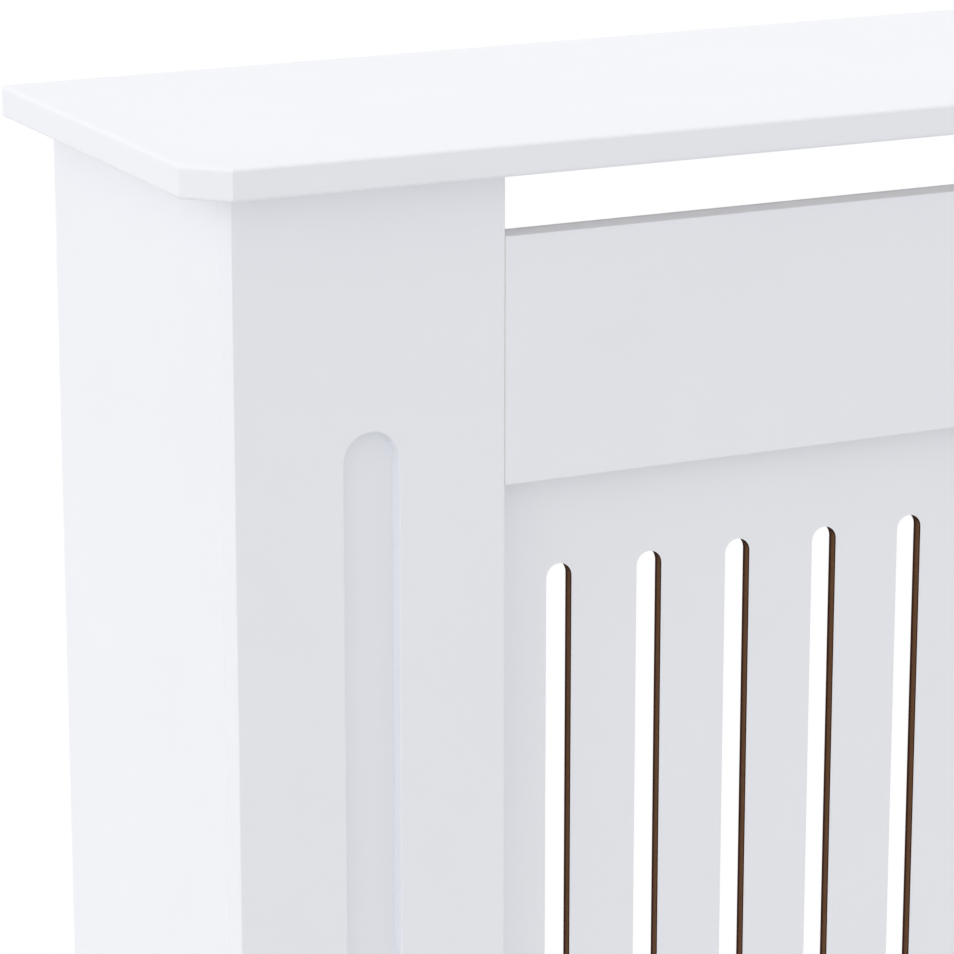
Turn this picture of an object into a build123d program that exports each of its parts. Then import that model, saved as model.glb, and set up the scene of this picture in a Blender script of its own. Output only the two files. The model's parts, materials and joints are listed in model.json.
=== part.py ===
from build123d import *
import os

# A radiator cover: a shallow cabinet of painted board that stands over a radiator, open at the
# back and at the bottom, with its rear edges against the wall.
# X runs along the wall, Y from the room towards the wall, Z up. The origin is on the floor, in
# the middle of the cover's outline. Lengths are in millimetres.

# Overall size
total_width = 800.0
total_depth = 190.0
total_height = 815.0
board = 12.0  # thickness of the top, the panels, the stiles and the rails
edge_break = 0.6  # radius of the sanded edges that show

# Top board
side_overhang = 20.0
front_overhang = 17.0
corner_clip = 14.0  # length cut off each side of a front corner, at 45 degrees
top_edge_radius = 1.5
under_edge_radius = 1.5

# Front stiles
stile_width = 106.0
groove_width = 22.0
groove_depth = 6.0
groove_end_distance = 91.0  # from the groove's round end to the end of the stile
groove_edge_break = 0.4

# Rails
air_gap = 25.0  # between the top board and the top rail
top_rail_height = 92.0
bottom_rail_height = 92.0
inlet_height = 80.0  # from the floor to the bottom rail

# Grille panel
grille_thickness = 5.0
grille_lap = 20.0  # how far it reaches behind the rails and stiles
slot_width = 10.5
slot_pitch = 37.8
slot_end_margin = 36.0  # from a slot's round end to the rail
least_side_margin = 20.0  # from the outer slots to the stiles, or more

# Dowels
dowel_radius = 3.0
dowel_length = 25.0
dowel_chamfer = 0.8
dowel_side_clearance = 0.1
dowel_end_clearance = 0.4
face_skin = 4.0  # board left under a blind hole for a dowel or a bolt

# Cam bolts and cam locks
bolt_thread_radius = 2.5
bolt_shank_radius = 3.0
bolt_neck_radius = 1.7
bolt_head_radius = 2.8
bolt_head_length = 2.2
bolt_clearance = 0.1
cam_radius = 6.0
cam_skin = 2.0  # board left under a cam's hole
cam_setback = 24.0  # from the joint to the cam's centre
cam_recess = 0.2  # how far the cam's face lies below the board's face
cam_clearance = 0.1
cam_bolt_play = 0.3
cross_length = 6.0
cross_width = 1.3
cross_depth = 1.6

# Where the joints' fittings sit
top_bolt_margin = 36.0  # from the front and rear edges of a side panel
top_dowel_spacing = 24.0
stile_top_dowel_margin = 30.0
stile_bolt_margin = 60.0
stile_bolt_count = 3
stile_dowel_margin = 30.0
rail_dowel_spacing = 50.0

# Screws that hold the grille panel from behind
grille_screw_radius = 1.75
grille_screw_head_radius = 3.6
grille_screw_head_height = 2.0
grille_screw_rim_height = 0.5
grille_screw_skin = 5.0  # board left ahead of the screw's point
grille_screw_margin = 40.0
rail_screw_count = 4
stile_screw_count = 3
screw_clearance = 0.1
screw_tip_length = 2.0

# Wall brackets and their screws
bracket_leaf = 30.0
bracket_height = 20.0
bracket_thickness = 2.0
bracket_bend_radius = 1.5
bracket_corner_radius = 4.0
bracket_drop = 60.0  # from the top board's underside to the bracket's middle
wall_hole_radius = 2.75
wall_hole_distance = 18.0  # from the side panel's inner face
bracket_screw_radius = 2.0
bracket_screw_head_radius = 3.8
bracket_screw_skin = 3.0
bracket_first_hole = 11.0  # from the wall
bracket_hole_spacing = 11.0

# Floor glides
glide_height = 4.0
glide_radius = 5.5
glide_round = 1.5
nail_radius = 1.0
nail_length = 12.0
nail_clearance = 0.05
nail_point = 2.0
glide_margin = 25.0

# Planes and widths that follow from the sizes above
front_edge_y = -total_depth / 2
wall_y = total_depth / 2
stile_front_y = front_edge_y + front_overhang
stile_back_y = stile_front_y + board
stile_mid_y = stile_front_y + board / 2
grille_back_y = stile_back_y + grille_thickness
panel_outer_x = total_width / 2 - side_overhang
panel_inner_x = panel_outer_x - board
panel_mid_x = panel_outer_x - board / 2
panel_depth = wall_y - stile_back_y
panel_mid_y = (wall_y + stile_back_y) / 2
stile_inner_x = panel_outer_x - stile_width
stile_mid_x = panel_outer_x - stile_width / 2
opening_width = 2 * stile_inner_x

under_top_z = total_height - board
upright_height = under_top_z - glide_height
top_rail_top_z = under_top_z - air_gap
top_rail_bottom_z = top_rail_top_z - top_rail_height
bottom_rail_top_z = inlet_height + bottom_rail_height
grille_top_z = top_rail_bottom_z + grille_lap
grille_bottom_z = bottom_rail_top_z - grille_lap
grille_mid_z = (top_rail_bottom_z + bottom_rail_top_z) / 2

slot_count = int((opening_width - slot_width - 2 * least_side_margin) // slot_pitch) + 1
slot_length = top_rail_bottom_z - bottom_rail_top_z - 2 * slot_end_margin

bite = board - face_skin  # depth of a dowel or a bolt in a board's face
cam_depth = board - cam_skin

LEFT = -1
RIGHT = 1
ON_BASE = (Align.CENTER, Align.CENTER, Align.MIN)
UNDER_TOP = (Align.CENTER, Align.CENTER, Align.MAX)


def spread(first, last, count):
    """Evenly spaced values from the first to the last."""
    return [first + (last - first) * i / (count - 1) for i in range(count)]


# Where each joint's fittings run. Each place lies on the plane where two boards meet, with its
# Z axis pointing into the board that is bored in its face, and its X axis towards the face from
# which the other board's cam is fitted.
def top_joint(side, rows):
    """Places where a side panel's upper edge meets the top board."""
    return [
        Plane((side * panel_mid_x, y, under_top_z), x_dir=(-side, 0, 0), z_dir=(0, 0, 1)).location
        for y in rows
    ]


def stile_top_joint(side, columns):
    """Places where a stile's upper end meets the top board."""
    return [
        Plane((side * x, stile_mid_y, under_top_z), x_dir=(0, 1, 0), z_dir=(0, 0, 1)).location
        for x in columns
    ]


def stile_joint(side, heights):
    """Places where a side panel's front edge meets the back of a stile."""
    return [
        Plane((side * panel_mid_x, stile_back_y, z), x_dir=(-side, 0, 0), z_dir=(0, -1, 0)).location
        for z in heights
    ]


def rail_joint(side, heights):
    """Places where a rail's end meets the inner edge of a stile."""
    return [
        Plane((side * stile_inner_x, stile_mid_y, z), x_dir=(0, 1, 0), z_dir=(side, 0, 0)).location
        for z in heights
    ]


def cam_places(bolts):
    """The centres of the cams' faces, each one setback behind the joint of its bolt."""
    return [bolt * Location((board / 2, 0, -cam_setback), (0, 90, 0)) for bolt in bolts]


top_bolt_rows = (stile_back_y + top_bolt_margin, wall_y - top_bolt_margin)
top_dowel_rows = (panel_mid_y - top_dowel_spacing / 2, panel_mid_y + top_dowel_spacing / 2)
stile_top_columns = (panel_outer_x - stile_top_dowel_margin, stile_inner_x + stile_top_dowel_margin)
stile_bolt_heights = spread(
    glide_height + stile_bolt_margin, under_top_z - stile_bolt_margin, stile_bolt_count
)
between_bolts = [(a + b) / 2 for a, b in zip(stile_bolt_heights, stile_bolt_heights[1:])]
stile_dowel_heights = [
    glide_height + stile_dowel_margin,
    *between_bolts,
    under_top_z - stile_dowel_margin,
]
rail_bolt_heights = (
    top_rail_top_z - top_rail_height / 2,
    inlet_height + bottom_rail_height / 2,
)
rail_dowel_heights = [
    middle + side * rail_dowel_spacing / 2 for middle in rail_bolt_heights for side in (LEFT, RIGHT)
]
rail_end_dowels = rail_joint(LEFT, rail_dowel_heights) + rail_joint(RIGHT, rail_dowel_heights)
rail_end_bolts = rail_joint(LEFT, rail_bolt_heights) + rail_joint(RIGHT, rail_bolt_heights)
top_bolts = top_joint(LEFT, top_bolt_rows) + top_joint(RIGHT, top_bolt_rows)
upright_dowels = (
    top_joint(LEFT, top_dowel_rows)
    + top_joint(RIGHT, top_dowel_rows)
    + stile_top_joint(LEFT, stile_top_columns)
    + stile_top_joint(RIGHT, stile_top_columns)
)

# The grille's screws stand on its back and point at the room.
rail_screw_columns = spread(
    -stile_inner_x + grille_screw_margin, stile_inner_x - grille_screw_margin, rail_screw_count
)
stile_screw_heights = spread(
    bottom_rail_top_z + grille_screw_margin,
    top_rail_bottom_z - grille_screw_margin,
    stile_screw_count,
)
lap_middle = grille_lap / 2
grille_screw_spots = [
    (x, z)
    for x in rail_screw_columns
    for z in (top_rail_bottom_z + lap_middle, bottom_rail_top_z - lap_middle)
] + [
    (side * (stile_inner_x + lap_middle), z)
    for side in (LEFT, RIGHT)
    for z in stile_screw_heights
]
grille_screw_places = [
    Plane((x, grille_back_y, z), x_dir=(1, 0, 0), z_dir=(0, 1, 0)).location
    for x, z in grille_screw_spots
]
grille_screw_length = grille_thickness + board - grille_screw_skin

# The brackets' screws stand on the bracket's inner face and point into the side panel.
bracket_mid_z = under_top_z - bracket_drop
bracket_screw_length = bracket_thickness + board - bracket_screw_skin


def bracket_screw_places(side):
    """The centres of the countersunk holes on a bracket's inner face."""
    return [
        Plane(
            (side * (panel_inner_x - bracket_thickness), wall_y - distance, bracket_mid_z),
            x_dir=(0, 1, 0),
            z_dir=(-side, 0, 0),
        ).location
        for distance in (bracket_first_hole, bracket_first_hole + bracket_hole_spacing)
    ]


# Four glides under the side panels and one under the inner end of each stile.
glide_spots = [
    (side * x, y)
    for side in (LEFT, RIGHT)
    for x, y in (
        (panel_mid_x, stile_back_y + glide_margin),
        (panel_mid_x, wall_y - glide_margin),
        (stile_inner_x + glide_margin, stile_mid_y),
    )
]
glide_places = [Location((x, y, 0)) for x, y in glide_spots]


def bore_dowels(places):
    """Bores the dowels' holes through a joint, in whichever of its boards is being made."""
    deep = bite + dowel_end_clearance
    long = dowel_length - bite + dowel_end_clearance
    with Locations(*places):
        Cylinder(dowel_radius + dowel_side_clearance, deep, align=ON_BASE, mode=Mode.SUBTRACT)
        Cylinder(dowel_radius + dowel_side_clearance, long, align=UNDER_TOP, mode=Mode.SUBTRACT)


def bore_rail_dowels():
    """Bores the holes of the dowels that lie half in a rail and half in a stile."""
    with Locations(*rail_end_dowels):
        Cylinder(
            dowel_radius + dowel_side_clearance,
            dowel_length + 2 * dowel_end_clearance,
            mode=Mode.SUBTRACT,
        )


def bore_bolts(places):
    """Bores the bolts' holes through a joint, in whichever of its boards is being made."""
    with Locations(*places):
        Cylinder(
            bolt_thread_radius + bolt_clearance,
            bite + bolt_clearance,
            align=ON_BASE,
            mode=Mode.SUBTRACT,
        )
        Cylinder(bolt_shank_radius + bolt_clearance, cam_setback, align=UNDER_TOP, mode=Mode.SUBTRACT)


def bore_cams(bolts):
    """Bores the flat-bottomed holes of the cams that hold the given bolts."""
    with Locations(*cam_places(bolts)):
        Cylinder(cam_radius + cam_clearance, cam_depth, align=UNDER_TOP, mode=Mode.SUBTRACT)


def bore_grille_screws():
    """Bores the grille's screw holes through the panel and into the boards ahead of it."""
    with Locations(*grille_screw_places):
        Cylinder(
            grille_screw_radius + screw_clearance,
            grille_screw_length + screw_clearance,
            align=UNDER_TOP,
            mode=Mode.SUBTRACT,
        )


def bore_glide_nails():
    """Bores the holes of the glides' nails into the lower ends of the uprights."""
    with Locations(*glide_places):
        Cylinder(
            nail_radius + nail_clearance,
            glide_height + nail_length + screw_clearance,
            align=ON_BASE,
            mode=Mode.SUBTRACT,
        )


with BuildPart() as top_board:
    with BuildSketch(Plane.XY.offset(under_top_z)) as outline:
        Rectangle(total_width, total_depth)
        chamfer(outline.vertices().group_by(Axis.Y)[0], corner_clip)
    extrude(amount=board)
    upper_edges = top_board.edges().group_by(Axis.Z)[-1].sort_by(Axis.Y)[:-1]
    fillet(upper_edges, top_edge_radius)
    lower_edges = top_board.edges().group_by(Axis.Z)[0].sort_by(Axis.Y)[:-1]
    fillet(lower_edges, under_edge_radius)
    bore_bolts(top_bolts)
    bore_dowels(upright_dowels)

with BuildPart() as side_panel_left:
    with BuildSketch(Plane.XY.offset(glide_height)):
        with Locations((-panel_mid_x, panel_mid_y)):
            Rectangle(board, panel_depth)
    extrude(amount=upright_height)
    outer_corners = side_panel_left.edges().filter_by(Axis.Z).group_by(Axis.X)[0]
    fillet(outer_corners, edge_break)
    bore_bolts(top_joint(LEFT, top_bolt_rows))
    bore_cams(top_joint(LEFT, top_bolt_rows))
    bore_dowels(top_joint(LEFT, top_dowel_rows))
    bore_bolts(stile_joint(LEFT, stile_bolt_heights))
    bore_cams(stile_joint(LEFT, stile_bolt_heights))
    bore_dowels(stile_joint(LEFT, stile_dowel_heights))
    with Locations(*bracket_screw_places(LEFT)):
        Hole(bracket_screw_radius + screw_clearance, bracket_screw_length + screw_clearance)
    bore_glide_nails()

with BuildPart() as side_panel_right:
    mirror(side_panel_left.part, about=Plane.YZ)

with BuildPart() as front_stile_left:
    with BuildSketch(Plane.XY.offset(glide_height)):
        with Locations((-stile_mid_x, stile_mid_y)):
            Rectangle(stile_width, board)
    extrude(amount=upright_height)
    corners = front_stile_left.edges().filter_by(Axis.Z)
    front_corners = corners.group_by(Axis.Y)[0]
    seam_corner = corners.group_by(Axis.Y)[-1].sort_by(Axis.X)[0]
    fillet(front_corners + [seam_corner], edge_break)
    groove_length = upright_height - 2 * groove_end_distance
    groove_middle = (-stile_mid_x, glide_height + upright_height / 2)
    with BuildSketch(Plane.XZ.offset(-stile_front_y)):
        with Locations(groove_middle):
            SlotOverall(groove_length, groove_width, rotation=90)
    extrude(amount=-groove_depth, mode=Mode.SUBTRACT)
    front_face = front_stile_left.faces().filter_by(Axis.Y).sort_by(Axis.Y)[0]
    fillet(front_face.inner_wires()[0].edges(), groove_edge_break)
    bore_dowels(stile_top_joint(LEFT, stile_top_columns))
    bore_bolts(stile_joint(LEFT, stile_bolt_heights))
    bore_dowels(stile_joint(LEFT, stile_dowel_heights))
    bore_bolts(rail_end_bolts)
    bore_rail_dowels()
    bore_grille_screws()
    bore_glide_nails()

with BuildPart() as front_stile_right:
    mirror(front_stile_left.part, about=Plane.YZ)


def make_rail(bottom_z, height):
    """A rail between the stiles, with its front edges sanded and its fittings' holes bored."""
    with BuildPart() as rail:
        with BuildSketch(Plane.XY.offset(bottom_z)) as section:
            with Locations((0, stile_mid_y)):
                Rectangle(opening_width, board)
        extrude(section.sketch, amount=height)
        front_edges = rail.faces().sort_by(Axis.Y)[0].edges()
        fillet(front_edges, edge_break)
        bore_bolts(rail_end_bolts)
        bore_cams(rail_end_bolts)
        bore_rail_dowels()
        bore_grille_screws()
    return rail.part


with BuildPart() as top_rail:
    add(make_rail(top_rail_bottom_z, top_rail_height))

with BuildPart() as bottom_rail:
    add(make_rail(inlet_height, bottom_rail_height))

with BuildPart() as grille_panel:
    with BuildSketch(Plane.XZ.offset(-stile_back_y)):
        with Locations((0, grille_mid_z)):
            Rectangle(opening_width + 2 * grille_lap, grille_top_z - grille_bottom_z)
            with GridLocations(slot_pitch, 0, slot_count, 1):
                SlotOverall(slot_length, slot_width, rotation=90, mode=Mode.SUBTRACT)
    extrude(amount=-grille_thickness)
    bore_grille_screws()

# The fittings. Each is made once, with its Z axis along its own axis, and put in its places.
with BuildPart() as dowel:
    Cylinder(dowel_radius, dowel_length)
    chamfer(dowel.edges(), dowel_chamfer)

with BuildPart() as cam_bolt:
    head_end = -cam_setback - bolt_head_length / 2
    neck_end = head_end + bolt_head_length
    shank_end = cam_radius + cam_bolt_play - cam_setback
    bevel = bolt_shank_radius - bolt_neck_radius
    with BuildSketch(Plane.XZ):
        with BuildLine():
            Polyline(
                (0, bite),
                (bolt_thread_radius / 2, bite),
                (bolt_thread_radius, bite - bolt_thread_radius / 2),
                (bolt_thread_radius, 0),
                (bolt_shank_radius, 0),
                (bolt_shank_radius, shank_end + bevel),
                (bolt_neck_radius, shank_end),
                (bolt_neck_radius, neck_end),
                (bolt_head_radius, neck_end),
                (bolt_head_radius, head_end + bevel / 2),
                (bolt_head_radius - bevel / 2, head_end),
                (0, head_end),
                close=True,
            )
        make_face()
    revolve(axis=Axis.Z)

with BuildPart() as cam_lock:
    with Locations((0, 0, -cam_recess)):
        Cylinder(cam_radius, cam_depth - cam_recess, align=UNDER_TOP)
        Box(cross_length, cross_width, cross_depth, align=UNDER_TOP, mode=Mode.SUBTRACT)
        Box(cross_width, cross_length, cross_depth, align=UNDER_TOP, mode=Mode.SUBTRACT)
    with Locations(Location((0, 0, -board / 2), (0, -90, 0))):
        Cylinder(
            bolt_head_radius + cam_bolt_play,
            bolt_head_length + 2 * cam_bolt_play,
            mode=Mode.SUBTRACT,
        )
        Cylinder(
            bolt_neck_radius + cam_bolt_play, cam_radius, align=ON_BASE, mode=Mode.SUBTRACT
        )

with BuildPart() as grille_screw:
    dome_height = grille_screw_head_height - grille_screw_rim_height
    dome_radius = (grille_screw_head_radius**2 + dome_height**2) / (2 * dome_height)
    with BuildSketch(Plane.XZ):
        with BuildLine():
            Polyline(
                (0, grille_screw_head_height),
                (0, -grille_screw_length),
                (grille_screw_radius, screw_tip_length - grille_screw_length),
                (grille_screw_radius, 0),
                (grille_screw_head_radius, 0),
                (grille_screw_head_radius, grille_screw_rim_height),
            )
            RadiusArc(
                (grille_screw_head_radius, grille_screw_rim_height),
                (0, grille_screw_head_height),
                -dome_radius,
            )
        make_face()
    revolve(axis=Axis.Z)

with BuildPart() as bracket_screw:
    sink_depth = bracket_screw_head_radius - bracket_screw_radius
    with BuildSketch(Plane.XZ):
        with BuildLine():
            Polyline(
                (0, 0),
                (bracket_screw_head_radius, 0),
                (bracket_screw_radius, -sink_depth),
                (bracket_screw_radius, screw_tip_length - bracket_screw_length),
                (0, -bracket_screw_length),
                close=True,
            )
        make_face()
    revolve(axis=Axis.Z)

with BuildPart() as floor_glide:
    nail_top = glide_height + nail_length
    with BuildSketch(Plane.XZ):
        with BuildLine():
            Polyline(
                (glide_radius, glide_round),
                (glide_radius, glide_height),
                (nail_radius, glide_height),
                (nail_radius, nail_top - nail_point),
                (0, nail_top),
                (0, 0),
                (glide_radius - glide_round, 0),
            )
            RadiusArc((glide_radius - glide_round, 0), (glide_radius, glide_round), -glide_round)
        make_face()
    revolve(axis=Axis.Z)

with BuildPart() as top_dowels:
    with Locations(*[place * Location((0, 0, bite - dowel_length / 2)) for place in upright_dowels]):
        add(dowel.part)

with BuildPart() as stile_dowels_left:
    joint = stile_joint(LEFT, stile_dowel_heights)
    with Locations(*[place * Location((0, 0, bite - dowel_length / 2)) for place in joint]):
        add(dowel.part)

with BuildPart() as stile_dowels_right:
    mirror(stile_dowels_left.part, about=Plane.YZ)

with BuildPart() as rail_dowels:
    with Locations(*rail_end_dowels):
        add(dowel.part)

with BuildPart() as top_cam_bolts:
    with Locations(*top_bolts):
        add(cam_bolt.part)

with BuildPart() as stile_cam_bolts_left:
    with Locations(*stile_joint(LEFT, stile_bolt_heights)):
        add(cam_bolt.part)

with BuildPart() as stile_cam_bolts_right:
    mirror(stile_cam_bolts_left.part, about=Plane.YZ)

with BuildPart() as rail_cam_bolts:
    with Locations(*rail_end_bolts):
        add(cam_bolt.part)

with BuildPart() as panel_cams_left:
    held_bolts = top_joint(LEFT, top_bolt_rows) + stile_joint(LEFT, stile_bolt_heights)
    with Locations(*cam_places(held_bolts)):
        add(cam_lock.part)

with BuildPart() as panel_cams_right:
    mirror(panel_cams_left.part, about=Plane.YZ)

with BuildPart() as rail_cams:
    with Locations(*cam_places(rail_end_bolts)):
        add(cam_lock.part)

with BuildPart() as grille_screws:
    with Locations(*grille_screw_places):
        add(grille_screw.part)

with BuildPart() as wall_bracket_left:
    with BuildSketch(Plane.XY.offset(bracket_mid_z - bracket_height / 2)) as bend:
        with BuildLine():
            Polyline(
                (-panel_inner_x, wall_y),
                (-panel_inner_x + bracket_leaf, wall_y),
                (-panel_inner_x + bracket_leaf, wall_y - bracket_thickness),
                (-panel_inner_x + bracket_thickness, wall_y - bracket_thickness),
                (-panel_inner_x + bracket_thickness, wall_y - bracket_leaf),
                (-panel_inner_x, wall_y - bracket_leaf),
                close=True,
            )
        make_face()
        inner_corner = bend.vertices().sort_by_distance(
            (-panel_inner_x + bracket_thickness, wall_y - bracket_thickness)
        )[0]
        fillet(inner_corner, bracket_bend_radius)
        outer_corner = bend.vertices().sort_by_distance((-panel_inner_x, wall_y))[0]
        fillet(outer_corner, bracket_bend_radius + bracket_thickness)
    extrude(amount=bracket_height)
    wall_leaf_corners = wall_bracket_left.edges().filter_by(Axis.Y).group_by(Axis.X)[-1]
    panel_leaf_corners = wall_bracket_left.edges().filter_by(Axis.X).group_by(Axis.Y)[0]
    fillet(wall_leaf_corners + panel_leaf_corners, bracket_corner_radius)
    with Locations(*bracket_screw_places(LEFT)):
        CounterSinkHole(
            bracket_screw_radius + screw_clearance,
            bracket_screw_head_radius + screw_clearance,
            counter_sink_angle=90,
        )
    with Locations(
        Plane(
            (-panel_inner_x + wall_hole_distance, wall_y, bracket_mid_z), z_dir=(0, 1, 0)
        ).location
    ):
        Hole(wall_hole_radius, bracket_thickness)

with BuildPart() as wall_bracket_right:
    mirror(wall_bracket_left.part, about=Plane.YZ)

with BuildPart() as bracket_screws:
    with Locations(*bracket_screw_places(LEFT), *bracket_screw_places(RIGHT)):
        add(bracket_screw.part)

with BuildPart() as floor_glides:
    with Locations(*glide_places):
        add(floor_glide.part)

pieces = {
    "top_board": top_board,
    "side_panel_left": side_panel_left,
    "side_panel_right": side_panel_right,
    "front_stile_left": front_stile_left,
    "front_stile_right": front_stile_right,
    "top_rail": top_rail,
    "bottom_rail": bottom_rail,
    "grille_panel": grille_panel,
    "top_dowels": top_dowels,
    "stile_dowels_left": stile_dowels_left,
    "stile_dowels_right": stile_dowels_right,
    "rail_dowels": rail_dowels,
    "top_cam_bolts": top_cam_bolts,
    "stile_cam_bolts_left": stile_cam_bolts_left,
    "stile_cam_bolts_right": stile_cam_bolts_right,
    "rail_cam_bolts": rail_cam_bolts,
    "panel_cams_left": panel_cams_left,
    "panel_cams_right": panel_cams_right,
    "rail_cams": rail_cams,
    "grille_screws": grille_screws,
    "wall_bracket_left": wall_bracket_left,
    "wall_bracket_right": wall_bracket_right,
    "bracket_screws": bracket_screws,
    "floor_glides": floor_glides,
}

os.makedirs("parts", exist_ok=True)
for name, piece in pieces.items():
    piece.part.label = name
    export_step(piece.part, f"parts/{name}.step")
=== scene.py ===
import json
import math

import bmesh
import bpy
from mathutils import Matrix, Vector


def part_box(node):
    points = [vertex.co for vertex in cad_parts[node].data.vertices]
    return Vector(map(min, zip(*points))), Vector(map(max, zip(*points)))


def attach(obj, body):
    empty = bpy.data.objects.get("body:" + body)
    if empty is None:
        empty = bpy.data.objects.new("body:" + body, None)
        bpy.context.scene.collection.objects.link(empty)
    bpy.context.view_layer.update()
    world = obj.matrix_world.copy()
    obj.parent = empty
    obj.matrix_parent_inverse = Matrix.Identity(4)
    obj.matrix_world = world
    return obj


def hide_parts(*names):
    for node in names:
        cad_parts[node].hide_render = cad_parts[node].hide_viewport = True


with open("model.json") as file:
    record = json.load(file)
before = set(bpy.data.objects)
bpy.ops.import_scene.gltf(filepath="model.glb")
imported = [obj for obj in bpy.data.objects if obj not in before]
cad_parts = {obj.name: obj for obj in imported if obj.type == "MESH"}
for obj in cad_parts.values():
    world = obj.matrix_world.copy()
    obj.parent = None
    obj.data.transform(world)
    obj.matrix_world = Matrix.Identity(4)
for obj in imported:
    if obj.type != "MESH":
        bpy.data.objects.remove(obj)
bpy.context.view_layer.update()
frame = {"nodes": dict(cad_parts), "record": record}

MM = 0.001
BODY = "root"
SIDES = ("left", "right")

# Colours, as linear red, green and blue
WHITE_PAINT = (0.905, 0.918, 0.955)
WHITE_PAINT_DEEP = (0.893, 0.907, 0.946)
# The rails' darker paint, a brownish grey: on their upper and lower edges it is painted shade, as
# under the top board, at their ends the dark joint with the stiles, and darkest along their rear,
# which is painted shade too
PAINTED_SHADE_AND_JOINT = (0.800, 0.786, 0.775)
PAINTED_REAR_SHADE = (0.672, 0.660, 0.652)
BARE_BOARD = (0.178, 0.088, 0.041)
BARE_BOARD_FIBRE = (0.142, 0.068, 0.030)
# The grille's darkest bare board: its skins near the faces, and painted shade on the slots' ends
BARE_BOARD_SKIN_AND_SHADE = (0.050, 0.012, 0.004)
BEECH = (0.56, 0.36, 0.20)
BEECH_DARK = (0.42, 0.25, 0.13)
CAST_ZINC = (0.42, 0.43, 0.44)
CAST_ZINC_DARK = (0.30, 0.31, 0.32)
PLATED_STEEL = (0.62, 0.63, 0.65)
PLATED_STEEL_DARK = (0.50, 0.51, 0.53)
WHITE_PLASTIC = (0.80, 0.80, 0.79)
WHITE_PLASTIC_DEEP = (0.74, 0.74, 0.73)
FLOOR = (0.72, 0.72, 0.73)
WHITE = (1.0, 1.0, 1.0)

# How wide the features of the materials' patterns are
PAINT_CLOUD = 60 * MM
PAINT_SHEEN = 9 * MM
PAINT_PEEL = 1.6 * MM
PAINT_GRAIN = 0.35 * MM
SHADE_PATCH = 7 * MM
EDGE_FIBRE = 4 * MM
BOARD_FIBRE = 0.5 * MM
BEECH_GRAIN = 1.2 * MM
BEECH_FLECK = 0.5 * MM
ZINC_MOTTLE = 0.8 * MM
STEEL_MOTTLE = 2.0 * MM
PLASTIC_CLOUD = 6 * MM
PLASTIC_GRAIN = 0.3 * MM
EDGE_FIBRE_SQUEEZE = 8.0  # how many times finer the fibres are across a board than along it
METAL_SHEEN = 2.5  # how many times wider a metal's sheen varies than its mottle

# How high their bumps rise
PAINT_PEEL_RISE = 0.010 * MM
PAINT_GRAIN_RISE = 0.003 * MM
EDGE_FIBRE_RISE = 0.03 * MM
BOARD_FIBRE_RISE = 0.12 * MM
BEECH_GRAIN_RISE = 0.04 * MM
ZINC_MOTTLE_RISE = 0.02 * MM
STEEL_MOTTLE_RISE = 0.004 * MM
PLASTIC_GRAIN_RISE = 0.01 * MM

# Roughness, from the smoothest to the roughest parts of a surface
PAINT_ROUGHNESS = (0.40, 0.50)
ZINC_ROUGHNESS = (0.42, 0.58)
STEEL_ROUGHNESS = (0.24, 0.36)
PLASTIC_ROUGHNESS = (0.38, 0.48)
BEECH_ROUGHNESS = 0.62
CUT_EDGE_ROUGHER = 0.06
BARE_BOARD_ROUGHER = 0.42

# The part of a pattern's range over which a colour or a roughness changes
TONES = (0.3, 0.7)
BEECH_TONES = (0.35, 0.65)
BEECH_FLECKS = (0.60, 0.68)
SHEENS = (0.25, 0.75)

# How surfaces are told apart, by the size of their normal along one axis: where a board's cut
# edge, a rail's upper or lower edge, a bare wall of the grille and a slot's round end start, and
# where each is complete
CUT_EDGE = (0.35, 0.10)
RAIL_EDGE = (0.80, 0.95)
BARE_WALL = (0.6, 0.4)
SLOT_END = (0.10, 0.50)

# The rails' darker paint: how far from a rail's ends the dark joint with the stiles starts and is
# darkest, how far from its rear the painted shade starts and is darkest, and how dark the painted
# shade is over the patches of an upper or lower edge
THIN_AT_END = (0.55 * MM, 0.10 * MM)
PAINTED_SHADE_AT_REAR = (3.5 * MM, 1.5 * MM)
PATCHES = (0.2, 0.6)
PATCHES_SHADE = (0.75, 1.0)

# The grille's bare board, in shares of its thickness: its palest depth, how far from there the
# dark skins start and are complete, and how much the fibres make them waver
PALEST = 0.42
SKIN = (0.25, 0.32)
SKIN_WAVER = 0.06
# The painted shade on the slots' round ends fades out between these distances from the grille's
# upper and lower edges
OUTER_EDGE = (2 * MM, 1 * MM)  # no cutter turned as near as this to its upper and lower edges

# Specular levels
PAINT_GLOSS = 0.5
BARE_BOARD_GLOSS = 0.12

# Light: a glow from all round, stronger towards the left and the right, and three broad soft
# lights, each given as the direction from the cover towards it, its strength and its spread in
# degrees
GLOW = 0.35
GLOW_LEFT = 0.99
GLOW_RIGHT = 1.09
LIGHTS = {
    "left": ((-1.0, -0.10, 0.16), 0.40, 60.0),
    "above": ((-0.04, 0.0, 1.0), 0.495, 20.0),
    "front": ((-0.5, -1.0, 0.35), 0.19, 60.0),
}

# The floor, shaded near the cover and plain white away from it, in metres
SHADE_START = 0.35
SHADE_END = 1.15
NEAR_WHITE = 0.55  # share of plain white in the floor next to the cover
FLOOR_REACH = 40.0
FLOOR_DROP = 0.0002  # below the glides, so that no faces lie in one plane

# Camera
CAMERA_PLACE = (-0.9402, -1.4178, 1.0924)
CAMERA_TURN = 26.05  # degrees from straight ahead towards the right
CAMERA_TILT = 15.08  # degrees down
CAMERA_LENS = 161.6
CAMERA_CLIP = (0.05, 200.0)


# ---------------------------------------------------------------- node trees

# Sockets of Blender's Mix node for colours, which share their names with those for numbers
MIX_SHARE = 0
MIX_FIRST = 6
MIX_SECOND = 7
MIX_RESULT = 2


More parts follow.
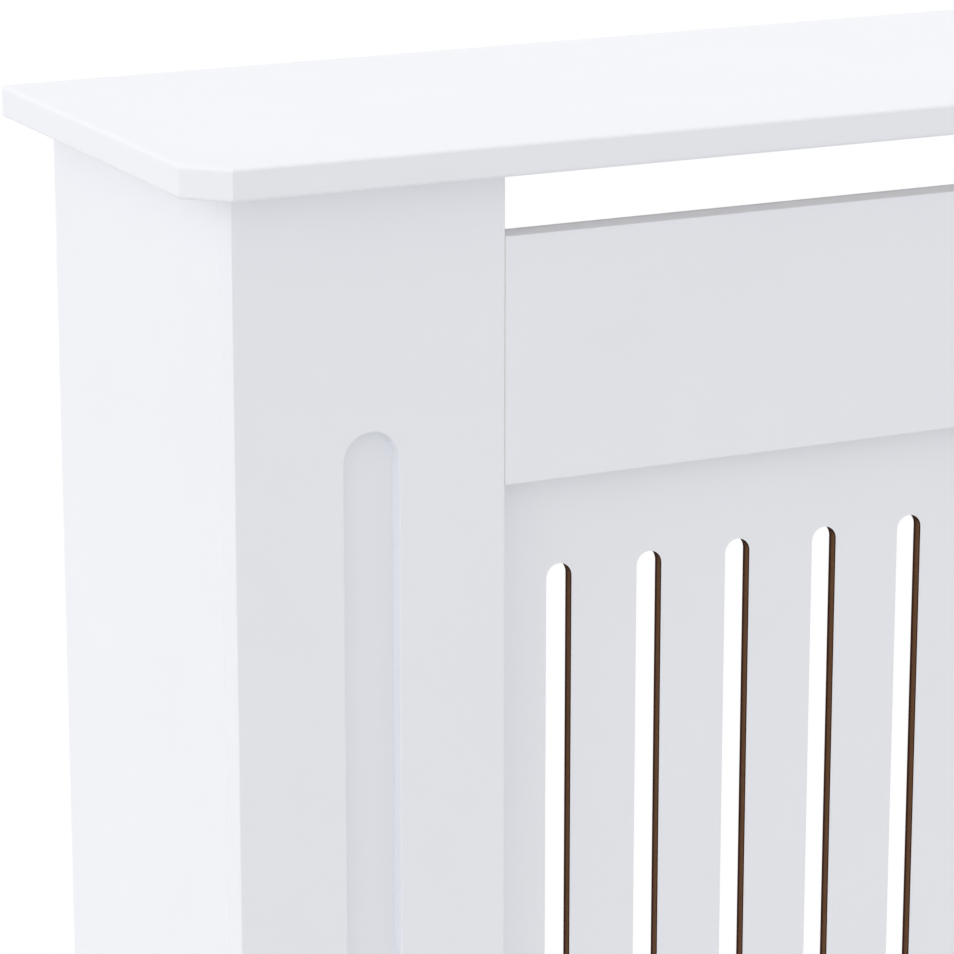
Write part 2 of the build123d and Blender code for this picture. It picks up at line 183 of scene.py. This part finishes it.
class Tree:
    """The node tree of a material or world under construction. Each value is a plain one or
    another node's output."""

    def __init__(self, owner):
        owner.use_nodes = True
        self.nodes = owner.node_tree.nodes
        self.links = owner.node_tree.links
        self.nodes.clear()

    def feed(self, socket, value):
        """Links an output to a socket, or sets the socket to a plain value or colour."""
        if isinstance(value, bpy.types.NodeSocket):
            self.links.new(value, socket)
        elif socket.type == "RGBA":
            socket.default_value = (*value, 1.0)
        else:
            socket.default_value = value

    def add(self, kind, inputs=None):
        """A new node with values for its inputs, by name or number."""
        node = self.nodes.new(kind)
        for key, value in (inputs or {}).items():
            self.feed(node.inputs[key], value)
        return node

    def math(self, operation, *values):
        """One Math node."""
        node = self.add("ShaderNodeMath")
        node.operation = operation
        for socket, value in zip(node.inputs, values):
            self.feed(socket, value)
        return node.outputs["Value"]

    def ramp(self, value, low, high, start=0.0, end=1.0, interpolation="LINEAR"):
        """Maps a value from low..high to start..end, and holds it there."""
        inputs = {
            "Value": value,
            "From Min": low,
            "From Max": high,
            "To Min": start,
            "To Max": end,
        }
        node = self.add("ShaderNodeMapRange", inputs)
        node.interpolation_type = interpolation
        return node.outputs["Result"]

    def mix(self, share, first, second):
        """A colour between two colours."""
        node = self.add("ShaderNodeMix")
        node.data_type = "RGBA"
        for key, value in ((MIX_SHARE, share), (MIX_FIRST, first), (MIX_SECOND, second)):
            self.feed(node.inputs[key], value)
        return node.outputs[MIX_RESULT]

    def mix_shaders(self, share, first, second):
        """A surface or background between two others."""
        node = self.add("ShaderNodeMixShader", {"Fac": share, 1: first, 2: second})
        return node.outputs["Shader"]

    def coordinates(self, kind):
        """The coordinates of what is shaded: Object in metres, Generated as a direction."""
        return self.add("ShaderNodeTexCoord").outputs[kind]

    def part(self, vector, axis):
        """A vector's part along one axis."""
        return self.add("ShaderNodeSeparateXYZ", {"Vector": vector}).outputs[axis]

    def length(self, vector):
        """A vector's length."""
        node = self.add("ShaderNodeVectorMath", {0: vector})
        node.operation = "LENGTH"
        return node.outputs["Value"]

    def background_share(self):
        """1 for rays that see the background: from the camera, a mirror or glass; otherwise 0."""
        ray = self.add("ShaderNodeLightPath").outputs
        share = self.math("MAXIMUM", ray["Is Camera Ray"], ray["Is Glossy Ray"])
        return self.math("MAXIMUM", share, ray["Is Transmission Ray"])


class Shader(Tree):
    """A material under construction, whose surface is one Principled shader."""

    def __init__(self, name):
        self.material = bpy.data.materials.new(name)
        super().__init__(self.material)
        self.surface = self.add("ShaderNodeBsdfPrincipled")
        self.add("ShaderNodeOutputMaterial", {"Surface": self.surface.outputs["BSDF"]})
        self.place = self.coordinates("Object")

    def set(self, **values):
        """Feeds inputs of the surface shader, named with _ in place of each space."""
        for name, value in values.items():
            self.feed(self.surface.inputs[name.replace("_", " ")], value)

    def noise(self, width, detail=2.0, roughness=0.5, scale=None):
        """Noise from 0 to 1 whose features are about `width` metres wide. A scale above 1 along
        an axis makes them shorter there, and one below 1 longer."""
        place = self.place
        if scale:
            mapping = self.add("ShaderNodeMapping", {"Scale": scale, "Vector": place})
            place = mapping.outputs["Vector"]
        inputs = {"Vector": place, "Scale": 1.0 / width, "Detail": detail, "Roughness": roughness}
        return self.add("ShaderNodeTexNoise", inputs).outputs["Fac"]

    def tones(self, pattern, first, second, span=TONES):
        """A colour that goes from one tone to another with a pattern from 0 to 1."""
        return self.mix(self.ramp(pattern, *span), first, second)

    def bump(self, height, rise, below=None):
        """A bump of `rise` metres from a height of 0 to 1, on top of another bump."""
        inputs = {"Height": height, "Distance": rise}
        if below is not None:
            inputs["Normal"] = below
        return self.add("ShaderNodeBump", inputs).outputs["Normal"]

    def across(self, axis):
        """The size, from 0 to 1, of the surface normal along one axis."""
        normal = self.add("ShaderNodeNewGeometry").outputs["True Normal"]
        return self.math("ABSOLUTE", self.part(normal, axis))

    def along(self, axis):
        """The object's coordinate along one axis, in metres."""
        return self.part(self.place, axis)


# ---------------------------------------------------------------- materials


def painted(shader):
    """Satin white paint: its colour, roughness and bump, as outputs."""
    cloud = shader.noise(PAINT_CLOUD, detail=3.0)
    sheen = shader.noise(PAINT_SHEEN, detail=3.0)
    peel = shader.bump(shader.noise(PAINT_PEEL), PAINT_PEEL_RISE)
    grain = shader.noise(PAINT_GRAIN, detail=1.0)
    return (
        shader.tones(cloud, WHITE_PAINT, WHITE_PAINT_DEEP),
        shader.ramp(sheen, *SHEENS, *PAINT_ROUGHNESS),
        shader.bump(grain, PAINT_GRAIN_RISE, peel),
    )


def painted_shade_and_joints(shader, colour, node):
    """Darkens a rail's paint towards a brownish grey: with painted shade on its upper and lower
    edges, as under the top board, darkest as painted shade along their rear, and with the dark
    joint at its ends, where it meets the stiles."""
    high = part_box(node)[1]
    # Painted shade on the rail's upper and lower edges, in patches
    edge = shader.ramp(shader.across("Z"), *RAIL_EDGE)
    patchy_shade = shader.ramp(shader.noise(SHADE_PATCH, detail=3.0), *PATCHES, *PATCHES_SHADE)
    off_middle = shader.math("ABSOLUTE", shader.along("X"))
    # The dark joint at the rail's ends, where it meets the stiles
    end = shader.ramp(off_middle, *(high.x - inside for inside in THIN_AT_END))
    # Painted shade, darkest along the rear of the rail
    rear = shader.ramp(shader.along("Y"), *(high.y - inside for inside in PAINTED_SHADE_AT_REAR))
    thin = shader.math("MAXIMUM", shader.math("MULTIPLY", edge, patchy_shade), end)
    return shader.mix(thin, colour, shader.mix(rear, PAINTED_SHADE_AND_JOINT, PAINTED_REAR_SHADE))


def paint_material(name, thin, rail=None):
    """Painted board whose thickness lies along the axis `thin`. Its cut edges are a little rougher
    and show the fibres, which lie along the board. A rail has its painted shade and dark joints
    too."""
    shader = Shader(name)
    colour, roughness, bump = painted(shader)
    # A rail's painted shade and dark joints
    if rail:
        colour = painted_shade_and_joints(shader, colour, rail)
    scale = [EDGE_FIBRE_SQUEEZE if axis == thin else 1.0 for axis in "XYZ"]
    fibres = shader.noise(EDGE_FIBRE, detail=4.0, roughness=0.7, scale=scale)
    edge = shader.ramp(shader.across(thin), *CUT_EDGE)
    shader.set(
        Base_Color=colour,
        Roughness=shader.math("MULTIPLY_ADD", edge, CUT_EDGE_ROUGHER, roughness),
        Normal=shader.bump(shader.math("MULTIPLY", fibres, edge), EDGE_FIBRE_RISE, bump),
    )
    return shader.material


def bare_board(shader, fibres):
    """The brown of bare fibreboard. It is darker near the grille's faces, most of all the rear
    one, and has painted shade on the round ends of the slots, above and below alike."""
    low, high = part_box("grille_panel")
    depth = shader.ramp(shader.along("Y"), low.y, high.y)
    off_middle = shader.math("ABSOLUTE", shader.math("SUBTRACT", depth, PALEST))
    skin = shader.ramp(shader.math("MULTIPLY_ADD", fibres, SKIN_WAVER, off_middle), *SKIN)
    # Painted shade on the slots' round ends, where the wall faces up or down
    turned = shader.ramp(shader.across("Z"), *SLOT_END)
    off_centre = shader.math("SUBTRACT", shader.along("Z"), (low.z + high.z) / 2)
    start, end = ((high.z - low.z) / 2 - inside for inside in OUTER_EDGE)
    within = shader.ramp(shader.math("ABSOLUTE", off_centre), start, end, 1.0, 0.0)
    dark = shader.math("MAXIMUM", skin, shader.math("MULTIPLY", turned, within))
    return shader.mix(dark, shader.tones(fibres, BARE_BOARD, BARE_BOARD_FIBRE), BARE_BOARD_SKIN_AND_SHADE)


def grille_material(name):
    """White paint on the grille's faces, and bare brown fibreboard on its outer edges and on the
    walls of its slots."""
    shader = Shader(name)
    colour, roughness, bump = painted(shader)
    fibres = shader.noise(BOARD_FIBRE, detail=5.0, roughness=0.7, scale=(1.0, 3.0, 0.35))
    bare = shader.ramp(shader.across("Y"), *BARE_WALL)
    shader.set(
        Base_Color=shader.mix(bare, colour, bare_board(shader, fibres)),
        Roughness=shader.math("MULTIPLY_ADD", bare, BARE_BOARD_ROUGHER, roughness),
        Specular_IOR_Level=shader.ramp(bare, 0.0, 1.0, PAINT_GLOSS, BARE_BOARD_GLOSS),
        Normal=shader.bump(shader.math("MULTIPLY", fibres, bare), BOARD_FIBRE_RISE, bump),
    )
    return shader.material


def beech_material(name):
    """Turned beech: fine straight grain with the short dark flecks of its rays."""
    shader = Shader(name)
    grain = shader.noise(BEECH_GRAIN, detail=4.0, roughness=0.6, scale=(1.0, 1.0, 0.15))
    flecks = shader.noise(BEECH_FLECK, detail=1.0, scale=(0.4, 1.0, 0.4))
    colour = shader.tones(grain, BEECH, BEECH_DARK, BEECH_TONES)
    shader.set(
        Base_Color=shader.tones(flecks, colour, BEECH_DARK, BEECH_FLECKS),
        Roughness=BEECH_ROUGHNESS,
        Normal=shader.bump(grain, BEECH_GRAIN_RISE),
    )
    return shader.material


def metal_material(name, light, dark, roughness, mottle_width, mottle_rise):
    """Bare or plated metal with a faint mottle and a sheen that varies."""
    shader = Shader(name)
    mottle = shader.noise(mottle_width, detail=3.0)
    sheen = shader.noise(METAL_SHEEN * mottle_width)
    shader.set(
        Metallic=1.0,
        Base_Color=shader.tones(mottle, light, dark),
        Roughness=shader.ramp(sheen, *SHEENS, *roughness),
        Normal=shader.bump(mottle, mottle_rise),
    )
    return shader.material


def plastic_material(name):
    """Moulded white plastic with a fine matt texture."""
    shader = Shader(name)
    cloud = shader.noise(PLASTIC_CLOUD)
    shader.set(
        Base_Color=shader.tones(cloud, WHITE_PLASTIC, WHITE_PLASTIC_DEEP),
        Roughness=shader.ramp(cloud, *TONES, *PLASTIC_ROUGHNESS),
        Normal=shader.bump(shader.noise(PLASTIC_GRAIN, detail=1.0), PLASTIC_GRAIN_RISE),
    )
    return shader.material


LYING = paint_material("paint_on_lying_board", "Z")
FACING = paint_material("paint_on_facing_board", "Y")
SIDEWAYS = paint_material("paint_on_side_board", "X")
# The rails' paint carries painted shade on their upper, lower and rear edges
RAIL = paint_material("paint_and_painted_shade_on_rail", "Y", rail="top_rail")
GRILLE = grille_material("paint_and_bare_board")
BEECH_WOOD = beech_material("beech")
ZINC = metal_material(
    "cast_zinc", CAST_ZINC, CAST_ZINC_DARK, ZINC_ROUGHNESS, ZINC_MOTTLE, ZINC_MOTTLE_RISE
)
STEEL = metal_material(
    "plated_steel",
    PLATED_STEEL,
    PLATED_STEEL_DARK,
    STEEL_ROUGHNESS,
    STEEL_MOTTLE,
    STEEL_MOTTLE_RISE,
)
PLASTIC = plastic_material("white_plastic")

BY_SLOT = {
    "grille_board": GRILLE,
    "beech": BEECH_WOOD,
    "zinc_casting": ZINC,
    "zinc_steel": STEEL,
    "white_plastic": PLASTIC,
}


def board_material(node):
    """The paint for a board, by the axis along which the board is thin."""
    if node.endswith("_rail"):
        return RAIL
    low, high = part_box(node)
    size = high - low
    thin = min(range(3), key=lambda axis: size[axis])
    return (SIDEWAYS, FACING, LYING)[thin]


for part in frame["record"]["subparts"]:
    node = part["node"]
    material = BY_SLOT.get(part["material_slot"]) or board_material(node)
    for slot in frame["nodes"][node].material_slots:
        slot.material = material


# ---------------------------------------------------------------- screws and cams
# These are modelled in millimetres, with their faces at z = 0 or above and their shanks below.

TURN_STEPS = 48  # sides of a turned shape
DOME_STEPS = 8
SHARP_ANGLE = 32  # degrees between two faces from which their edge stays sharp
SAME_POINT = 1e-4  # points nearer than this are one
SAME_CAD_POINT = 1e-6  # the same in the CAD's metres
CUTTER_RISE = 0.2  # how far a cutter stands out of the face that it cuts
RECESS_FOOT = (0.45, 0.75)  # a cross recess's length and width at its bottom, as shares of the top

# How far apart the crosses of neighbouring screws are turned, in degrees
GRILLE_SCREW_TURN = 37
BRACKET_SCREW_TURN = 53
BRACKET_SCREW_START = 20

TOP_JOINT = 30 * MM  # a cam nearer than this to a side panel's top holds the top board


def lathed(profile):
    """A closed shape turned about Z from (radius, height) points that start and end on the axis."""
    shape = bmesh.new()
    verts = [shape.verts.new((radius, 0, height)) for radius, height in profile]
    edges = [shape.edges.new(pair) for pair in zip(verts, verts[1:])]
    bmesh.ops.spin(
        shape,
        geom=verts + edges,
        cent=(0, 0, 0),
        axis=(0, 0, 1),
        angle=math.tau,
        steps=TURN_STEPS,
        use_merge=True,
    )
    bmesh.ops.remove_doubles(shape, verts=shape.verts, dist=SAME_POINT)
    bmesh.ops.recalc_face_normals(shape, faces=shape.faces)
    return shape


def rod(radius, low, high):
    """A plain round bar along Z."""
    return lathed([(0.0, low), (radius, low), (radius, high), (0.0, high)])


def loft(lower, upper, low, high):
    """A closed block between two outlines of as many (x, y) points, at two heights."""
    shape = bmesh.new()
    below = [shape.verts.new((x, y, low)) for x, y in lower]
    above = [shape.verts.new((x, y, high)) for x, y in upper]
    shape.faces.new(below)
    shape.faces.new(above)
    for i in range(len(below)):
        j = (i + 1) % len(below)
        shape.faces.new((below[i], below[j], above[j], above[i]))
    bmesh.ops.recalc_face_normals(shape, faces=shape.faces)
    return shape


def oblong(length, width):
    """The corners of a rectangle about the origin."""
    x, y = length / 2, width / 2
    return [(-x, -y), (x, -y), (x, y), (-x, y)]


def cross_cutters(length, width, depth, top):
    """The two blades of a cross recess that narrows downwards from the height `top`."""
    foot_length, foot_width = RECESS_FOOT
    blades = []
    for swap in (False, True):
        outlines = [oblong(foot_length * length, foot_width * width), oblong(length, width)]
        if swap:
            outlines = [[(y, x) for x, y in outline] for outline in outlines]
        blades.append(loft(*outlines, top - depth, top + CUTTER_RISE))
    return blades


def cut(shape, cutters):
    """The mesh of a shape with the cutters taken out of it."""
    scene = bpy.context.scene
    made = []
    for item in (shape, *cutters):
        mesh = bpy.data.meshes.new("work")
        item.to_mesh(mesh)
        item.free()
        made.append(bpy.data.objects.new("work", mesh))
        scene.collection.objects.link(made[-1])
    for tool in made[1:]:
        modifier = made[0].modifiers.new("cut", "BOOLEAN")
        modifier.operation = "DIFFERENCE"
        modifier.solver = "EXACT"
        modifier.object = tool
    result = bpy.data.meshes.new_from_object(
        made[0].evaluated_get(bpy.context.evaluated_depsgraph_get())
    )
    for item in made:
        mesh = item.data
        bpy.data.objects.remove(item)
        bpy.data.meshes.remove(mesh)
    return result


def pan_screw():
    """A pan-head screw with a cross recess. Its head is a low dome on a short rim."""
    radius, height, rim = 3.6, 2.0, 0.5
    bevel, rim_bevel = 0.08, 0.04
    shank, length, tip = 1.75, 10.0, 2.0
    rise = height - rim
    sphere = (radius**2 + rise**2) / (2 * rise)
    dome_angle = math.asin(radius / sphere)
    dome = []
    for step in range(DOME_STEPS):
        angle = dome_angle * step / DOME_STEPS
        dome.append((sphere * math.sin(angle), height - sphere * (1 - math.cos(angle))))
    profile = [
        *dome,
        (radius - bevel, rim + rim_bevel),
        (radius, rim - rim_bevel),
        (radius, bevel),
        (radius - bevel, 0.0),
        (shank, 0.0),
        (shank, -length),
        (0.0, -length - tip),
    ]
    return cut(lathed(profile), cross_cutters(length=4.2, width=0.95, depth=1.35, top=height))


def countersunk_screw():
    """A flat countersunk screw with a cross recess."""
    radius, bevel = 3.8, 0.08
    shank, length, tip = 2.0, 9.0, 2.0
    profile = [
        (0.0, 0.0),
        (radius - bevel, 0.0),
        (radius, -bevel),
        (shank, shank - radius),
        (shank, -length),
        (0.0, -length - tip),
    ]
    return cut(lathed(profile), cross_cutters(length=4.4, width=1.0, depth=1.5, top=0.0))


def cam_lock():
    """A cam with a bevelled face, a cross recess and an arrow that points at its bolt, along +X.
    The cavity for the bolt's head opens on that side."""
    radius, depth, bevel = 6.0, 9.8, 0.35
    bolt_height = -5.8
    head_radius, head_reach = 3.1, 1.4
    neck_radius, neck_reach = 2.0, 7.0
    arrow = [(3.5, -0.95), (5.2, 0.0), (3.5, 0.95)]
    arrow_depth = 0.6
    profile = [
        (0.0, 0.0),
        (radius - bevel, 0.0),
        (radius, -bevel),
        (radius, -depth),
        (0.0, -depth),
    ]
    cavity = [rod(head_radius, -head_reach, head_reach), rod(neck_radius, 0.0, neck_reach)]
    lie_down = Matrix.Translation((0, 0, bolt_height)) @ Matrix.Rotation(math.radians(90), 4, "Y")
    for shape in cavity:
        bmesh.ops.transform(shape, matrix=lie_down, verts=shape.verts)
    recess = cross_cutters(length=6.0, width=1.3, depth=1.6, top=0.0)
    return cut(lathed(profile), [*recess, loft(arrow, arrow, -arrow_depth, CUTTER_RISE), *cavity])


def solid_boxes(node):
    """The lowest and highest corners of each separate solid in a CAD node, in order."""
    work = bmesh.new()
    work.from_mesh(frame["nodes"][node].data)
    bmesh.ops.remove_doubles(work, verts=work.verts, dist=SAME_CAD_POINT)
    seen = set()
    boxes = []
    for start in work.verts:
        if start in seen:
            continue
        seen.add(start)
        group = [start]
        for vert in group:
            fresh = {edge.other_vert(vert) for edge in vert.link_edges} - seen
            seen |= fresh
            group += fresh
        columns = list(zip(*(vert.co for vert in group)))
        boxes.append((Vector(map(min, columns)), Vector(map(max, columns))))
    work.free()
    return sorted(boxes, key=lambda box: tuple(round(value, 5) for value in box[0]))


def frame_at(place, out, along):
    """A placement whose Z axis points out of a board's face and whose X axis points along it."""
    out = Vector(out).normalized()
    along = Vector(along).normalized()
    turned = Matrix((along, out.cross(along), out)).transposed().to_4x4()
    return Matrix.Translation(place) @ turned @ Matrix.Scale(MM, 4)


def on_rear(box, rear, along):
    """The placement of a fitting in the rear face of a rail or of the grille, at y = `rear`."""
    middle = (box[0] + box[1]) / 2
    return frame_at((middle.x, rear, middle.z), (0, 1, 0), along)


def on_inside(box, along):
    """The placement of a fitting in a side panel's inner face, or in a bracket's leaf on it."""
    low, high = box
    middle = (low + high) / 2
    inward = -math.copysign(1, middle.x)
    face = high.x if inward > 0 else low.x
    return frame_at((face, middle.y, middle.z), (inward, 0, 0), along)


def copies(name, mesh, places, node, material):
    """One piece that holds a copy of a mesh at each place and stands for a CAD node."""
    joined = bmesh.new()
    for place in places:
        one = mesh.copy()
        one.transform(place)
        joined.from_mesh(one)
        bpy.data.meshes.remove(one)
    result = bpy.data.meshes.new(name)
    joined.to_mesh(result)
    joined.free()
    result.shade_smooth()
    result.set_sharp_from_angle(angle=math.radians(SHARP_ANGLE))
    result.materials.append(material)
    piece = bpy.data.objects.new(name, result)
    bpy.context.scene.collection.objects.link(piece)
    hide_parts(node)
    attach(piece, BODY)


def add_screws():
    """The screws, each where the CAD has it and with its cross turned its own way."""
    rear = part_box("grille_panel")[1].y
    places = []
    for i, box in enumerate(solid_boxes("grille_screws")):
        twist = math.radians(GRILLE_SCREW_TURN * i)
        places.append(on_rear(box, rear, (math.cos(twist), 0, math.sin(twist))))
    copies("pan_screws", pan_screw(), places, "grille_screws", STEEL)

    places = []
    for i, box in enumerate(solid_boxes("bracket_screws")):
        twist = math.radians(BRACKET_SCREW_START + BRACKET_SCREW_TURN * i)
        places.append(on_inside(box, (0, math.cos(twist), math.sin(twist))))
    copies("flat_screws", countersunk_screw(), places, "bracket_screws", STEEL)


def add_cams():
    """The cams, each where the CAD has it and with its arrow towards its bolt."""
    lock = cam_lock()
    places = []
    for low, high in solid_boxes("rail_cams"):
        places.append(on_rear((low, high), high.y, (low.x + high.x, 0, 0)))
    copies("rail_locks", lock, places, "rail_cams", ZINC)

    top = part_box("side_panel_left")[1].z
    for side in SIDES:
        places = []
        for low, high in solid_boxes(f"panel_cams_{side}"):
            holds_top = top - (low.z + high.z) / 2 < TOP_JOINT
            places.append(on_inside((low, high), (0, 0, 1) if holds_top else (0, -1, 0)))
        copies(f"panel_locks_{side}", lock, places, f"panel_cams_{side}", ZINC)


add_screws()
add_cams()


# ---------------------------------------------------------------- floor, light, camera


def make_floor():
    """A pale floor that keeps the cover's shadow and fades to plain white away from it."""
    mesh = bpy.data.meshes.new("floor")
    corners = [(x, y, 0) for x, y in oblong(2 * FLOOR_REACH, 2 * FLOOR_REACH)]
    mesh.from_pydata(corners, [], [(0, 1, 2, 3)])
    floor = bpy.data.objects.new("floor", mesh)
    floor.location.z = -FLOOR_DROP
    bpy.context.scene.collection.objects.link(floor)
    material = bpy.data.materials.new("floor")
    tree = Tree(material)
    distance = tree.length(tree.coordinates("Object"))
    fade = tree.ramp(
        distance, SHADE_START, SHADE_END, NEAR_WHITE, 1.0, interpolation="SMOOTHSTEP"
    )
    white = tree.math("MULTIPLY", fade, tree.background_share())
    shaded = tree.add("ShaderNodeBsdfDiffuse", {"Color": FLOOR}).outputs["BSDF"]
    plain = tree.add("ShaderNodeEmission", {"Color": WHITE}).outputs["Emission"]
    tree.add("ShaderNodeOutputMaterial", {"Surface": tree.mix_shaders(white, shaded, plain)})
    mesh.materials.append(material)


def make_world():
    """The glow from all round, in front of a white background."""
    world = bpy.data.worlds.new("studio")
    tree = Tree(world)
    rightward = tree.part(tree.coordinates("Generated"), "X")
    left = tree.ramp(rightward, 0.0, -1.0, GLOW, GLOW + GLOW_LEFT)
    right = tree.ramp(rightward, 0.0, 1.0, 0.0, GLOW_RIGHT)
    strength = tree.math("ADD", left, right)
    glow = tree.add("ShaderNodeBackground", {"Color": WHITE, "Strength": strength})
    backdrop = tree.add("ShaderNodeBackground", {"Color": WHITE})
    mixed = tree.mix_shaders(
        tree.background_share(), glow.outputs["Background"], backdrop.outputs["Background"]
    )
    tree.add("ShaderNodeOutputWorld", {"Surface": mixed})
    bpy.context.scene.world = world


def make_lights():
    """The broad lights."""
    for name, (towards, strength, spread) in LIGHTS.items():
        lamp = bpy.data.lights.new(name, "SUN")
        lamp.energy = strength
        lamp.angle = math.radians(spread)
        light = bpy.data.objects.new(name, lamp)
        light.rotation_euler = Vector(towards).to_track_quat("Z", "Y").to_euler()
        bpy.context.scene.collection.objects.link(light)


def make_camera():
    """The photograph's viewpoint."""
    lens = bpy.data.cameras.new("camera")
    lens.lens = CAMERA_LENS
    lens.clip_start, lens.clip_end = CAMERA_CLIP
    camera = bpy.data.objects.new("camera", lens)
    camera.location = CAMERA_PLACE
    camera.rotation_euler = (math.radians(90 - CAMERA_TILT), 0, math.radians(-CAMERA_TURN))
    bpy.context.scene.collection.objects.link(camera)
    bpy.context.scene.camera = camera


make_floor()
make_world()
make_lights()
make_camera()
bpy.context.scene.view_settings.view_transform = "Standard"
